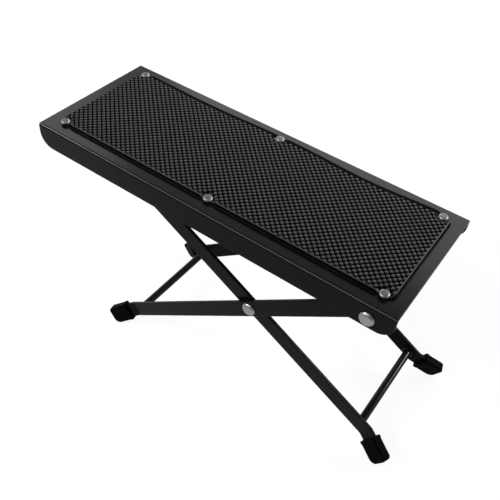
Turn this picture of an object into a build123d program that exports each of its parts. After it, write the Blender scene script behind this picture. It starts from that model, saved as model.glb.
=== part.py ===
from build123d import *
from dataclasses import dataclass
from math import acos, asin, atan2, copysign, cos, degrees, hypot, radians, sin, tan
import os

# Folding footrest: a pressed channel plate with a rubber mat, carried by two crossed frames of
# flat bar. Millimetres and degrees. +X points to the low end of the plate, +Y to the far side
# and +Z up. The floor is at Z = 0 and the origin is under the middle of the whole object.
# The plate has axes of its own: u along it from its high end, v across it, n above its top face.

# Pressed plate
plate_length = 280.0
plate_width = 106.5
plate_sheet = 1.5
flange_depth = 17.6
press_radius = 1.7
plate_edge_radius = 0.3
flange_end_radius = 10.5

# Rubber mat, set in from the plate's edges, with a thin straight border. The thicker body on it
# is drawn in between the rivets at the far edge, and its rim is lower than the raised lozenges.
# These stand for a finer pattern of the same kind.
mat_high_margin = 10.0
mat_low_margin = 8.0
mat_side_margin = 9.45
mat_thickness = 3.1
mat_corner_radius = 6.0
mat_border_height = 1.2
mat_rim = 0.9
mat_rim_height = 2.8
mat_field_height = 2.2
mat_draw_high_bay = 1.0
mat_draw_low_bay = 2.4
lozenge_columns = 17
lozenge_rows = 6
lozenge_foot_share = 0.86
lozenge_top_share = 0.62

# Rivets that hold the mat, in three pairs. The heads press dimples into the rubber.
mat_rivet_inset = 14.6
mat_rivet_to_edge = 2.3
mat_rivet_head_diameter = 6.5
mat_rivet_head_height = 1.4
mat_rivet_head_edge = 0.3
rivet_flat_share = 0.55
mat_rivet_shank = 3.2
mat_rivet_tail_diameter = 5.4
mat_rivet_tail_height = 1.1
mat_seat_thickness = 1.7
mat_dimple_diameter = 13.5
mat_dimple_floor_diameter = 7.2

# Linkage. The plate turns on the outer legs near its low end, the frames cross at the scissor
# rivets, and the lock rod at the top of the inner frame sits under the notched racks.
plate_pivot_inset = 16.8
plate_pivot_depth = 10.5
lock_rod_depth = 13.0
lock_rod_to_pivot = 190.4
outer_pivot_to_scissor = 104.0
inner_rod_to_scissor = 124.0
leg_end_to_bend = 242.0

# Flat bar of the legs
bar_width = 12.6
bar_thickness = 2.5
bar_edge_radius = 0.4
bar_to_flange = 7.55
bar_gap = 0.6
splay_angle = 20.0
splay_radius = 9.0

# Round rods between the legs, with their weld fillets
rod_diameter = 6.0
weld_width = 1.8
weld_height = 1.5
outer_rod_to_bend = 8.2
inner_rod_to_bend = 6.6

# Lock rod, riveted through the inner legs by a spigot at each end
lock_spigot_diameter = 4.2
lock_spigot_flush_diameter = 5.8

# Rubber foot caps
cap_start = 5.7
cap_end = 23.3
cap_floor = 3.0
cap_width = 15.2
cap_thickness = 7.4
cap_lower_radius = 5.0
cap_upper_radius = 3.0
cap_edge_radius = 1.4
cap_lip_length = 2.2
cap_lip_height = 0.3
cap_socket_clearance = 0.1
cap_worn_flat = 0.5

# Pivot rivets, spacers and washers
pivot_shank = 6.0
pivot_head_diameter = 10.0
pivot_head_height = 1.9
pivot_head_edge = 0.5
pivot_flush_diameter = 8.6
countersink_angle = 90.0
scissor_tail_diameter = 9.0
scissor_tail_height = 1.5
spacer_diameter = 10.0
spacer_bore_clearance = 0.1
spacer_chamfer = 0.6
washer_diameter = 11.5
washer_thickness = 0.4
running_clearance = 0.06
side_clearance = 0.12

# Notched racks under the plate
rack_to_leg = 7.1
rack_sheet = 1.5
rack_foot = 9.0
rack_press_radius = 2.2
rack_notches = 4
rack_pitch = 9.0
notch_radius = 3.2
notch_depth = 4.2
notch_ramp = 1.5
rack_high_land = 16.0
rack_low_land = 9.0
rack_corner_radius = 2.5
tooth_edge_radius = 0.4
tooth_clearance = 0.3

# One overrun serves every cut
overrun = 8.0


def triangle_angle(beside_a, beside_b, opposite):
    """Angle in degrees between two sides of a triangle whose three sides are known."""
    share = (beside_a**2 + beside_b**2 - opposite**2) / (2 * beside_a * beside_b)
    return degrees(acos(share))


# Angles of the two frames under the plate, from the triangle of pivot, scissor and lock rod
rod_drop = lock_rod_depth - plate_pivot_depth
pivot_to_rod = hypot(lock_rod_to_pivot, rod_drop)
outer_angle = triangle_angle(outer_pivot_to_scissor, pivot_to_rod, inner_rod_to_scissor)
outer_angle += degrees(atan2(rod_drop, lock_rod_to_pivot))
scissor_fall = outer_pivot_to_scissor * sin(radians(outer_angle))
inner_angle = degrees(asin((scissor_fall - rod_drop) / inner_rod_to_scissor))

plate_pivot = Vector(plate_length - plate_pivot_inset, 0, -plate_pivot_depth)
outer_down = Vector(-cos(radians(outer_angle)), 0, -sin(radians(outer_angle)))
inner_down = Vector(cos(radians(inner_angle)), 0, -sin(radians(inner_angle)))
scissor_axis = plate_pivot + outer_down * outer_pivot_to_scissor
lock_rod_axis = scissor_axis - inner_down * inner_rod_to_scissor
across = Vector(0, 1, 0)


@dataclass
class LegPair:
    """The two like legs of one frame, in the plate's axes.

    down: unit vector along the bar to its foot.
    rise: unit vector up across the bar's width.
    middle: distance of the bar's mid-thickness from the centre plane.
    to_end: scissor axis to the axis at the upper end.
    to_bend: scissor axis to the bend that splays the foot.
    """

    down: Vector
    rise: Vector
    middle: float
    to_end: float
    to_bend: float

    def foot_way(self):
        """Unit vector along the near foot, splayed outwards."""
        return self.down * cos(radians(splay_angle)) - across * sin(radians(splay_angle))

    def at(self, run):
        """Point of the near bar's middle at a run from the scissor axis."""
        return scissor_axis + self.down * run - across * self.middle

    def cap_reach(self, way):
        """How far the near foot cap reaches along a unit vector, its rounded edges included."""
        foot = self.foot_way()
        side = foot.cross(self.rise)
        upward = self.rise.dot(way)
        radius = cap_upper_radius if upward > 0 else cap_lower_radius
        corner = self.rise * copysign(cap_width / 2 - radius, upward)
        centre = self.at(self.to_bend) + foot * (cap_end - radius) + corner
        turned = (radius - cap_edge_radius) * hypot(foot.dot(way), upward)
        thick = (cap_thickness / 2 - cap_edge_radius) * abs(side.dot(way))
        return centre.dot(way) + turned + thick + cap_edge_radius


flange_inside = plate_width / 2 - plate_sheet
outer_middle = flange_inside - bar_to_flange - bar_thickness / 2
inner_middle = outer_middle - bar_thickness - bar_gap
outer = LegPair(
    outer_down,
    across.cross(outer_down),
    outer_middle,
    outer_pivot_to_scissor,
    leg_end_to_bend - outer_pivot_to_scissor,
)
inner = LegPair(
    inner_down,
    inner_down.cross(across),
    inner_middle,
    inner_rod_to_scissor,
    leg_end_to_bend - inner_rod_to_scissor,
)


def down_at(tilt):
    """Straight down in the plate's axes, for a plate tilted by so many degrees."""
    return Vector(sin(radians(tilt)), 0, -cos(radians(tilt)))


# Tilt at which the caps of both frames reach the floor, found by halving an interval
least_tilt = 0.0
most_tilt = 45.0
for _ in range(60):
    tilt = (least_tilt + most_tilt) / 2
    if outer.cap_reach(down_at(tilt)) > inner.cap_reach(down_at(tilt)):
        least_tilt = tilt
    else:
        most_tilt = tilt

# Place of the plate's axes in the world: caps on the floor, box centred on the origin
world_x = Vector(cos(radians(tilt)), 0, sin(radians(tilt)))
flange_straight = flange_depth - flange_end_radius
high_end_reach = flange_straight * sin(radians(tilt)) + flange_end_radius * (1 - cos(radians(tilt)))
box_middle = (inner.cap_reach(world_x) - high_end_reach) / 2
plate_height = outer.cap_reach(down_at(tilt)) - cap_worn_flat
standing = Plane(
    origin=(-box_middle, 0, plate_height),
    x_dir=(cos(radians(tilt)), 0, -sin(radians(tilt))),
    z_dir=(sin(radians(tilt)), 0, cos(radians(tilt))),
)


def stand(origin, x_dir, z_dir):
    """Plane given in the plate's axes, moved to where the plate stands."""
    return Plane(standing.location * Plane(origin=origin, x_dir=x_dir, z_dir=z_dir).location)


def section_at(u):
    """Cross-section plane of the plate at u, with local x across and y up."""
    return stand((u, 0, 0), (0, 1, 0), (1, 0, 0))


def level_at(n):
    """Plane along the plate at a height n over its top face."""
    return stand((0, 0, n), (1, 0, 0), (0, 0, 1))


plate_top = level_at(0)
side_view = stand((0, 0, 0), (1, 0, 0), (0, -1, 0))
up_from_plate = Axis(plate_top.origin, plate_top.z_dir)

mat_half = plate_width / 2 - mat_side_margin
mat_rivet_rows = [mat_rivet_inset, plate_length / 2, plate_length - mat_rivet_inset]
mat_rivet_points = [
    (u, side * (mat_half - mat_rivet_to_edge)) for u in mat_rivet_rows for side in (-1, 1)
]

outer_face = outer.middle + bar_thickness / 2
inner_front = inner.middle + bar_thickness / 2
inner_back = inner.middle - bar_thickness / 2
running_radius = pivot_shank / 2 + running_clearance


def far_twin(near):
    """Far part of a pair, the near one mirrored in the centre plane."""
    with BuildPart() as far:
        mirror(near.part, about=Plane.XZ)
    return far


# Pressed channel plate: folded section, rounded flange ends, rivet and pivot holes
with BuildPart() as foot_plate:
    with BuildSketch(section_at(0)):
        with BuildLine():
            FilletPolyline(
                (-plate_width / 2, -flange_depth),
                (-plate_width / 2, 0),
                (plate_width / 2, 0),
                (plate_width / 2, -flange_depth),
                radius=press_radius,
            )
            offset(amount=plate_sheet, side=Side.RIGHT)
        make_face()
    extrude(amount=plate_length)
    flange_ends = foot_plate.edges().filter_by(Axis.Y).group_by(up_from_plate)[0]
    fillet(flange_ends, radius=flange_end_radius)
    sheared_edges = foot_plate.edges().filter_by(Axis.Y).group_by(up_from_plate)[-1]
    fillet(sheared_edges, radius=plate_edge_radius)
    with BuildSketch(plate_top):
        with Locations(*mat_rivet_points):
            Circle(mat_rivet_shank / 2)
    extrude(amount=overrun, both=True, mode=Mode.SUBTRACT)
    with BuildSketch(side_view):
        with Locations((plate_pivot.X, plate_pivot.Z)):
            Circle(running_radius)
    extrude(amount=plate_width, both=True, mode=Mode.SUBTRACT)

# Rubber mat: border, rim, sunk field for the raised lozenges, and a dimple under each rivet head
mat_high = mat_high_margin
mat_low = plate_length - mat_low_margin
mat_middle = (mat_high + mat_low) / 2
high_bay = (mat_high + plate_length / 2) / 2
low_bay = (mat_low + plate_length / 2) / 2
pattern_length = mat_low - mat_high - 2 * mat_rim
pattern_width = 2 * (mat_half - mat_rim) - mat_draw_low_bay
pattern_middle = (mat_middle, -mat_draw_low_bay / 2)
lozenge_length = pattern_length / lozenge_columns
lozenge_span = pattern_width / lozenge_rows
lozenge_grids = [(lozenge_columns, lozenge_rows), (lozenge_columns - 1, lozenge_rows - 1)]
with BuildPart() as lozenge:
    for height, share in ((0, lozenge_foot_share), (mat_thickness - mat_field_height, lozenge_top_share)):
        with BuildSketch(Plane.XY.offset(height)):
            Polygon(
                (share * lozenge_length / 2, 0),
                (0, share * lozenge_span / 2),
                (-share * lozenge_length / 2, 0),
                (0, -share * lozenge_span / 2),
            )
    loft()
with BuildPart() as rubber_mat:
    with BuildSketch(plate_top):
        with Locations((mat_middle, 0)):
            RectangleRounded(mat_low - mat_high, 2 * mat_half, mat_corner_radius)
    extrude(amount=mat_border_height)
    with BuildSketch(plate_top) as mat_outline:
        with BuildLine():
            Polyline((mat_high, mat_half), (mat_high, -mat_half), (mat_low, -mat_half), (mat_low, mat_half))
            ThreePointArc(
                (mat_low, mat_half),
                (low_bay, mat_half - mat_draw_low_bay),
                (plate_length / 2, mat_half),
            )
            ThreePointArc(
                (plate_length / 2, mat_half),
                (high_bay, mat_half - mat_draw_high_bay),
                (mat_high, mat_half),
            )
        make_face()
        mat_corners = mat_outline.vertices().group_by(Axis.X)
        fillet(mat_corners[0] + mat_corners[-1], radius=mat_corner_radius)
    extrude(amount=mat_rim_height)
    with BuildSketch(level_at(mat_field_height)):
        add(mat_outline.sketch_local)
        offset(amount=-mat_rim, mode=Mode.REPLACE)
    extrude(amount=overrun, mode=Mode.SUBTRACT)
    with Locations(level_at(mat_field_height)):
        for columns, rows in lozenge_grids:
            with Locations(pattern_middle):
                with GridLocations(lozenge_length, lozenge_span, columns, rows):
                    add(lozenge.part)
    with Locations(level_at(mat_seat_thickness)):
        with Locations(*mat_rivet_points):
            Cone(
                mat_dimple_floor_diameter / 2,
                mat_dimple_diameter / 2,
                mat_thickness - mat_seat_thickness,
                align=(Align.CENTER, Align.CENTER, Align.MIN),
                mode=Mode.SUBTRACT,
            )
    with BuildSketch(plate_top):
        with Locations(*mat_rivet_points):
            Circle(mat_rivet_shank / 2)
    extrude(amount=overrun, both=True, mode=Mode.SUBTRACT)

# Rivets through mat and plate: domed head, shank, and a tail spread under the plate
tail_seat = -plate_sheet
mat_rivet_flat = rivet_flat_share * mat_rivet_head_diameter / 2
with BuildPart() as mat_rivet:
    with BuildSketch(Plane.XZ):
        with BuildLine():
            Polyline(
                (0, tail_seat - mat_rivet_tail_height),
                (mat_rivet_shank / 2, tail_seat - mat_rivet_tail_height),
                (mat_rivet_tail_diameter / 2, tail_seat),
                (mat_rivet_shank / 2, tail_seat),
                (mat_rivet_shank / 2, mat_seat_thickness),
                (mat_rivet_head_diameter / 2, mat_seat_thickness),
                (mat_rivet_head_diameter / 2, mat_seat_thickness + mat_rivet_head_edge),
            )
            TangentArc(
                (mat_rivet_flat, mat_seat_thickness + mat_rivet_head_height),
                (mat_rivet_head_diameter / 2, mat_seat_thickness + mat_rivet_head_edge),
                tangent=(1, 0),
            )
            Polyline(
                (mat_rivet_flat, mat_seat_thickness + mat_rivet_head_height),
                (0, mat_seat_thickness + mat_rivet_head_height),
                (0, tail_seat - mat_rivet_tail_height),
            )
        make_face()
    revolve(axis=Axis.Z)
with BuildPart() as mat_rivets:
    with Locations(plate_top):
        with Locations(*mat_rivet_points):
            add(mat_rivet.part)

# Notched racks: an angle strip spot-welded under the plate, with teeth cut in its web.
# Each notch has a steep wall on the high side, which holds the rod, and a ramp on the low side.
tooth_tip = tooth_clearance + rod_diameter / 2 - lock_rod_depth
first_notch = lock_rod_axis.X
last_notch = first_notch - (rack_notches - 1) * rack_pitch
rack_high = last_notch - rack_high_land
rack_low = first_notch + rack_low_land
rack_face = rack_to_leg - inner_back
notch_top = tooth_tip + notch_depth
with BuildPart() as lock_rack_near:
    with BuildSketch(section_at(rack_high)):
        with BuildLine():
            FilletPolyline(
                (rack_face + rack_foot, -plate_sheet),
                (rack_face, -plate_sheet),
                (rack_face, tooth_tip),
                radius=rack_press_radius,
            )
            offset(amount=rack_sheet, side=Side.LEFT)
        make_face()
    extrude(amount=rack_low - rack_high)
    rack_ends = lock_rack_near.edges().filter_by(Axis.Y).group_by(up_from_plate)[0]
    fillet(rack_ends, radius=rack_corner_radius)
    with BuildSketch(side_view):
        for step in range(rack_notches):
            notch_at = first_notch - step * rack_pitch
            with BuildLine():
                Polyline(
                    (notch_at - notch_radius, tooth_tip),
                    (notch_at - notch_radius, notch_top - notch_radius),
                )
                ThreePointArc(
                    (notch_at - notch_radius, notch_top - notch_radius),
                    (notch_at, notch_top),
                    (notch_at + notch_radius, notch_top - notch_radius),
                )
                Polyline(
                    (notch_at + notch_radius, notch_top - notch_radius),
                    (notch_at + notch_radius + notch_ramp, tooth_tip),
                    (notch_at - notch_radius, tooth_tip),
                )
            make_face()
    extrude(amount=plate_width, both=True, mode=Mode.SUBTRACT)
    tooth_edges = lock_rack_near.edges().filter_by(Axis.Y).group_by(up_from_plate)[0]
    fillet(tooth_edges, radius=tooth_edge_radius)
lock_rack_far = far_twin(lock_rack_near)


def half_profile(axis_point):
    """Plane to draw half of a turned part on: x out from the axis, y away from the middle."""
    return stand((axis_point.X, 0, axis_point.Z), (1, 0, 0), (0, 0, -1))


# Plate pivots: head outside the flange, countersunk tail flush with the leg's inner face
leg_inside = outer_face - bar_thickness
shank_radius = pivot_shank / 2
head_radius = pivot_head_diameter / 2
head_flat = rivet_flat_share * head_radius
flush_radius = pivot_flush_diameter / 2
flush_depth = (flush_radius - shank_radius) / tan(radians(countersink_angle / 2))
plate_head_seat = plate_width / 2 + side_clearance
pivot_half = half_profile(plate_pivot)
with BuildPart() as plate_pivot_rivet_near:
    with BuildSketch(pivot_half):
        with BuildLine():
            Polyline(
                (head_flat, plate_head_seat + pivot_head_height),
                (0, plate_head_seat + pivot_head_height),
                (0, leg_inside),
                (flush_radius, leg_inside),
                (shank_radius, leg_inside + flush_depth),
                (shank_radius, plate_head_seat),
                (head_radius, plate_head_seat),
                (head_radius, plate_head_seat + pivot_head_edge),
            )
            TangentArc(
                (head_flat, plate_head_seat + pivot_head_height),
                (head_radius, plate_head_seat + pivot_head_edge),
                tangent=(1, 0),
            )
        make_face()
    revolve(axis=Axis(pivot_half.origin, pivot_half.y_dir))
plate_pivot_rivet_far = far_twin(plate_pivot_rivet_near)

# Spacer tubes that bridge the gap from each outer leg to its flange
spacer_start = outer_face + side_clearance
spacer_end = flange_inside - side_clearance
with BuildPart() as pivot_spacer_near:
    with BuildSketch(pivot_half):
        with Locations((0, (spacer_start + spacer_end) / 2)):
            Rectangle(spacer_diameter, spacer_end - spacer_start)
        split(bisect_by=Plane.YZ)
    revolve(axis=Axis(pivot_half.origin, pivot_half.y_dir))
    chamfer(pivot_spacer_near.edges().filter_by(GeomType.CIRCLE), length=spacer_chamfer)
    with BuildSketch(stand(plate_pivot, (1, 0, 0), (0, 1, 0))):
        Circle(shank_radius + spacer_bore_clearance)
    extrude(amount=plate_width, both=True, mode=Mode.SUBTRACT)
pivot_spacer_far = far_twin(pivot_spacer_near)

# Scissor rivets: domed head on the outer leg, spread tail inside the inner leg
tail_seat_inside = inner_back - side_clearance
tail_radius = scissor_tail_diameter / 2
scissor_half = half_profile(scissor_axis)
with BuildPart() as scissor_rivet_near:
    with BuildSketch(scissor_half):
        with BuildLine():
            TangentArc(
                (0, tail_seat_inside - scissor_tail_height),
                (tail_radius, tail_seat_inside),
                tangent=(1, 0),
            )
            Polyline(
                (tail_radius, tail_seat_inside),
                (shank_radius, tail_seat_inside),
                (shank_radius, outer_face),
                (head_radius, outer_face),
                (head_radius, outer_face + pivot_head_edge),
            )
            TangentArc(
                (head_flat, outer_face + pivot_head_height),
                (head_radius, outer_face + pivot_head_edge),
                tangent=(1, 0),
            )
            Polyline(
                (head_flat, outer_face + pivot_head_height),
                (0, outer_face + pivot_head_height),
                (0, tail_seat_inside - scissor_tail_height),
            )
        make_face()
    revolve(axis=Axis(scissor_half.origin, scissor_half.y_dir))
scissor_rivet_far = far_twin(scissor_rivet_near)

# Washers between the crossing legs, against the outer ones
with BuildPart() as scissor_washer_near:
    with BuildSketch(stand(scissor_axis - across * leg_inside, (1, 0, 0), (0, 1, 0))):
        Circle(washer_diameter / 2)
        Circle(running_radius, mode=Mode.SUBTRACT)
    extrude(amount=washer_thickness)
scissor_washer_far = far_twin(scissor_washer_near)


def bent_bar(pair):
    """Near leg of a pair: flat bar with a round upper end and a splayed foot."""
    outwards = -across.dot(pair.rise.cross(pair.down))
    foot_run = cap_end - cap_floor
    foot_tip = (
        pair.to_bend + foot_run * cos(radians(splay_angle)),
        outwards * foot_run * sin(radians(splay_angle)),
    )
    end_middle = pair.at(-pair.to_end)
    with BuildPart() as leg:
        with BuildSketch(stand(end_middle, pair.down, across)):
            Circle(bar_width / 2)
        extrude(amount=bar_thickness / 2, both=True)
        fillet(leg.edges().filter_by(GeomType.CIRCLE), radius=bar_edge_radius)
        with BuildLine(stand(pair.at(0), pair.down, pair.rise)):
            FilletPolyline((-pair.to_end, 0), (pair.to_bend, 0), foot_tip, radius=splay_radius)
        with BuildSketch(stand(end_middle, pair.rise, pair.down)):
            RectangleRounded(bar_width, bar_thickness, bar_edge_radius)
        sweep()
        with BuildSketch(stand(scissor_axis, pair.down, across)):
            Circle(running_radius)
        extrude(amount=plate_width, both=True, mode=Mode.SUBTRACT)
    return leg


# Outer legs, with a countersunk hole for the plate pivot at the upper end
sink_radius = flush_radius + running_clearance
with BuildPart() as outer_leg_near:
    add(bent_bar(outer).part)
    with Locations(stand(plate_pivot - across * leg_inside, outer.down, across)):
        CounterSinkHole(running_radius, sink_radius, counter_sink_angle=countersink_angle)
outer_leg_far = far_twin(outer_leg_near)

# Inner legs, with a countersunk hole for the lock rod's spigot at the upper end
spigot_radius = lock_spigot_diameter / 2
spigot_flush_radius = lock_spigot_flush_diameter / 2
with BuildPart() as inner_leg_near:
    add(bent_bar(inner).part)
    with Locations(stand(lock_rod_axis - across * inner_front, inner.down, -across)):
        CounterSinkHole(
            spigot_radius + running_clearance,
            spigot_flush_radius + running_clearance,
            counter_sink_angle=countersink_angle,
        )
inner_leg_far = far_twin(inner_leg_near)


def welded_rod(pair, run):
    """Round rod between the legs of a pair, flared at both ends by its weld."""
    half_length = pair.middle - bar_thickness / 2
    rod_radius = rod_diameter / 2
    half = half_profile(scissor_axis + pair.down * run)
    with BuildPart() as rod:
        with BuildSketch(half):
            with BuildLine():
                Polyline(
                    (rod_radius, half_length - weld_width),
                    (rod_radius, 0),
                    (0, 0),
                    (0, half_length),
                    (rod_radius + weld_height, half_length),
                )
                TangentArc(
                    (rod_radius, half_length - weld_width),
                    (rod_radius + weld_height, half_length),
                    tangent=(0, 1),
                )
            make_face()
        revolve(axis=Axis(half.origin, half.y_dir))
        mirror(about=Plane.XZ)
    return rod


outer_cross_rod = welded_rod(outer, outer.to_bend - outer_rod_to_bend)
inner_cross_rod = welded_rod(inner, inner.to_bend - inner_rod_to_bend)

# Lock rod: shouldered between the inner legs, its spigots spread flush with their outer faces
spigot_flush_depth = (spigot_flush_radius - spigot_radius) / tan(radians(countersink_angle / 2))
lock_half = half_profile(lock_rod_axis)
with BuildPart() as lock_rod:
    with BuildSketch(lock_half):
        with BuildLine():
            Polyline(
                (0, 0),
                (rod_diameter / 2, 0),
                (rod_diameter / 2, inner_back),
                (spigot_radius, inner_back),
                (spigot_radius, inner_front - spigot_flush_depth),
                (spigot_flush_radius, inner_front),
                (0, inner_front),
                close=True,
            )
        make_face()
    revolve(axis=Axis(lock_half.origin, lock_half.y_dir))
    mirror(about=Plane.XZ)


def rubber_boot(pair):
    """Near foot cap of a pair, pushed on the bar's splayed end and worn flat on the floor."""
    vertex = pair.at(pair.to_bend)
    foot = pair.foot_way()
    mouth = stand(vertex + foot * cap_start, pair.rise, foot)
    along = Axis(mouth.origin, mouth.z_dir)
    with BuildPart() as lip:
        with BuildSketch(mouth):
            RectangleRounded(
                cap_width + 2 * cap_lip_height,
                cap_thickness + 2 * cap_lip_height,
                cap_edge_radius + cap_lip_height,
            )
        extrude(amount=cap_lip_length)
        lip_ends = lip.faces().sort_by(along)
        fillet(lip_ends[0].edges() + lip_ends[-1].edges(), radius=cap_lip_height)
    with BuildPart() as boot:
        with BuildSketch(stand(vertex, foot, foot.cross(pair.rise))) as outline:
            with Locations((cap_start, 0)):
                Rectangle(cap_end - cap_start, cap_width, align=(Align.MIN, Align.CENTER))
            fillet(outline.vertices().group_by(Axis.X)[-1].sort_by(Axis.Y)[0], radius=cap_lower_radius)
            fillet(outline.vertices().group_by(Axis.X)[-1].sort_by(Axis.Y)[-1], radius=cap_upper_radius)
        extrude(amount=cap_thickness / 2, both=True)
        mouth_face = boot.faces().sort_by(along)[0]
        outline_edges = boot.edges() - mouth_face.edges()
        cross_edges = outline_edges.filter_by(Axis(outline.workplanes[0].origin, mouth.y_dir))
        fillet(outline_edges - cross_edges, radius=cap_edge_radius)
        add(lip.part)
        with BuildSketch(mouth):
            RectangleRounded(
                bar_width + 2 * cap_socket_clearance,
                bar_thickness + 2 * cap_socket_clearance,
                bar_edge_radius + cap_socket_clearance,
            )
        extrude(amount=cap_end - cap_floor - cap_start, mode=Mode.SUBTRACT)
        split(bisect_by=Plane.XY)
    return boot


foot_cap_outer_near = rubber_boot(outer)
foot_cap_outer_far = far_twin(foot_cap_outer_near)
foot_cap_inner_near = rubber_boot(inner)
foot_cap_inner_far = far_twin(foot_cap_inner_near)

pieces = {
    "foot_plate": foot_plate,
    "rubber_mat": rubber_mat,
    "mat_rivets": mat_rivets,
    "lock_rack_near": lock_rack_near,
    "lock_rack_far": lock_rack_far,
    "plate_pivot_rivet_near": plate_pivot_rivet_near,
    "plate_pivot_rivet_far": plate_pivot_rivet_far,
    "pivot_spacer_near": pivot_spacer_near,
    "pivot_spacer_far": pivot_spacer_far,
    "outer_leg_near": outer_leg_near,
    "outer_leg_far": outer_leg_far,
    "outer_cross_rod": outer_cross_rod,
    "scissor_rivet_near": scissor_rivet_near,
    "scissor_rivet_far": scissor_rivet_far,
    "scissor_washer_near": scissor_washer_near,
    "scissor_washer_far": scissor_washer_far,
    "inner_leg_near": inner_leg_near,
    "inner_leg_far": inner_leg_far,
    "inner_cross_rod": inner_cross_rod,
    "lock_rod": lock_rod,
    "foot_cap_outer_near": foot_cap_outer_near,
    "foot_cap_outer_far": foot_cap_outer_far,
    "foot_cap_inner_near": foot_cap_inner_near,
    "foot_cap_inner_far": foot_cap_inner_far,
}
os.makedirs("parts", exist_ok=True)
for name, piece in pieces.items():
    piece.part.label = name
    export_step(piece.part, f"parts/{name}.step")

print(f"outer frame {outer_angle:.2f} and inner frame {inner_angle:.2f} degrees under the plate")
print(f"plate tilted {tilt:.2f} degrees, its high edge {plate_height:.1f} mm above the floor")
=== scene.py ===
"""Looks, studio and camera for a folding guitar footrest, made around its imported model."""

import logging
import math
from dataclasses import dataclass, field
from enum import Enum
from typing import Any, ClassVar, Iterable, Sequence

import bpy
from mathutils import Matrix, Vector, noise
from mathutils.geometry import delaunay_2d_cdt


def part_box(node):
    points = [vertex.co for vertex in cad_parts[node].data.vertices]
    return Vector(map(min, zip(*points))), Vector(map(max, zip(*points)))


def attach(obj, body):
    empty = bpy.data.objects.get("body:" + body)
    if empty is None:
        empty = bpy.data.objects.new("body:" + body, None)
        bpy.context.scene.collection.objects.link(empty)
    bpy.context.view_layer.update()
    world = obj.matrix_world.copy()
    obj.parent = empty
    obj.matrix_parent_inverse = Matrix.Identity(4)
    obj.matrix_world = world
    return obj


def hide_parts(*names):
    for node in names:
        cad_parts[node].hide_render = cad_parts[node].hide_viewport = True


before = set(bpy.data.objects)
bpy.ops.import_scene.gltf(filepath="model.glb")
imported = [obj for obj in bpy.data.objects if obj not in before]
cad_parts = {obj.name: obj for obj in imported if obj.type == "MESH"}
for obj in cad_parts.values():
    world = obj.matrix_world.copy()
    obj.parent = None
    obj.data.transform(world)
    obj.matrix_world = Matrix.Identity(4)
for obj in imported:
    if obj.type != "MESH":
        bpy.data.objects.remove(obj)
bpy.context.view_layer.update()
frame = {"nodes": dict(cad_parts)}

Colour = tuple[float, float, float]
Way = tuple[float, float, float]
EdgePoint = tuple[Vector, Vector]

MM = 0.001
TINY = 1e-9
# Point attribute with the mat's share of painted light
PAINTED_LIGHT_ATTRIBUTE = "relief"
BEVEL_SAMPLES = 4
HULL_TRIANGLES = 0
ACROSS = (0.0, 1.0, 0.0)
WHITE = (1.0, 1.0, 1.0, 1.0)

# Sine of the plate's tilt, down from its high end
PLATE_SLOPE = 0.116835
PLATE_TILT = math.asin(PLATE_SLOPE)
PLATE_UP = (math.sin(PLATE_TILT), 0.0, math.cos(PLATE_TILT))

# Socket numbers of Blender's Mix node for colours, because its socket names repeat
MIX_SHARE, MIX_FIRST, MIX_SECOND, MIX_RESULT = 0, 6, 7, 2

log = logging.getLogger("footrest")


class Slot(Enum):
    """Material slots of the record."""

    POWDER_COAT = "black_powder_coat"
    MAT_RUBBER = "mat_rubber"
    CAP_RUBBER = "cap_rubber"
    BRIGHT_RIVET = "bright_rivet"
    ZINC_STEEL = "zinc_steel"


class Body(Enum):
    """Bodies that the pieces ride on."""

    PLATE = "foot_plate"
    OUTER = "outer_frame"
    INNER = "inner_frame"


class Signal:
    """A shader socket that Python arithmetic works on, each operator adding its Math node."""

    def __init__(self, board: "Board", socket: bpy.types.NodeSocket) -> None:
        """Keep the socket and the board that it is on."""
        self.board = board
        self.socket = socket

    def maths(self, operation: str, *values: "Signal | float") -> "Signal":
        """Math node of one operation on this signal and more values."""
        inputs = dict(enumerate((self, *values)))
        return self.board.node("ShaderNodeMath", {"operation": operation}, inputs)

    def output(self, name: str) -> "Signal":
        """Another output of the node that this signal leaves."""
        return Signal(self.board, self.socket.node.outputs[name])

    def at_least(self, other: "Signal | float") -> "Signal":
        """The larger of two values."""
        return self.maths("MAXIMUM", other)

    def held(self) -> "Signal":
        """The value kept between 0 and 1."""
        return self.at_least(0.0).maths("MINIMUM", 1.0)

    def __add__(self, other: "Signal | float") -> "Signal":
        """Sum."""
        return self.maths("ADD", other)

    __radd__ = __add__

    def __mul__(self, other: "Signal | float") -> "Signal":
        """Product."""
        return self.maths("MULTIPLY", other)

    __rmul__ = __mul__

    def __sub__(self, other: "Signal | float") -> "Signal":
        """Difference."""
        return self.maths("SUBTRACT", other)

    def __rsub__(self, other: float) -> "Signal":
        """Difference from a plain number."""
        return self * -1.0 + other


@dataclass(frozen=True)
class Grain:
    """Noise pattern: its grains to the metre and its octaves."""

    scale: float
    octaves: float


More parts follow.
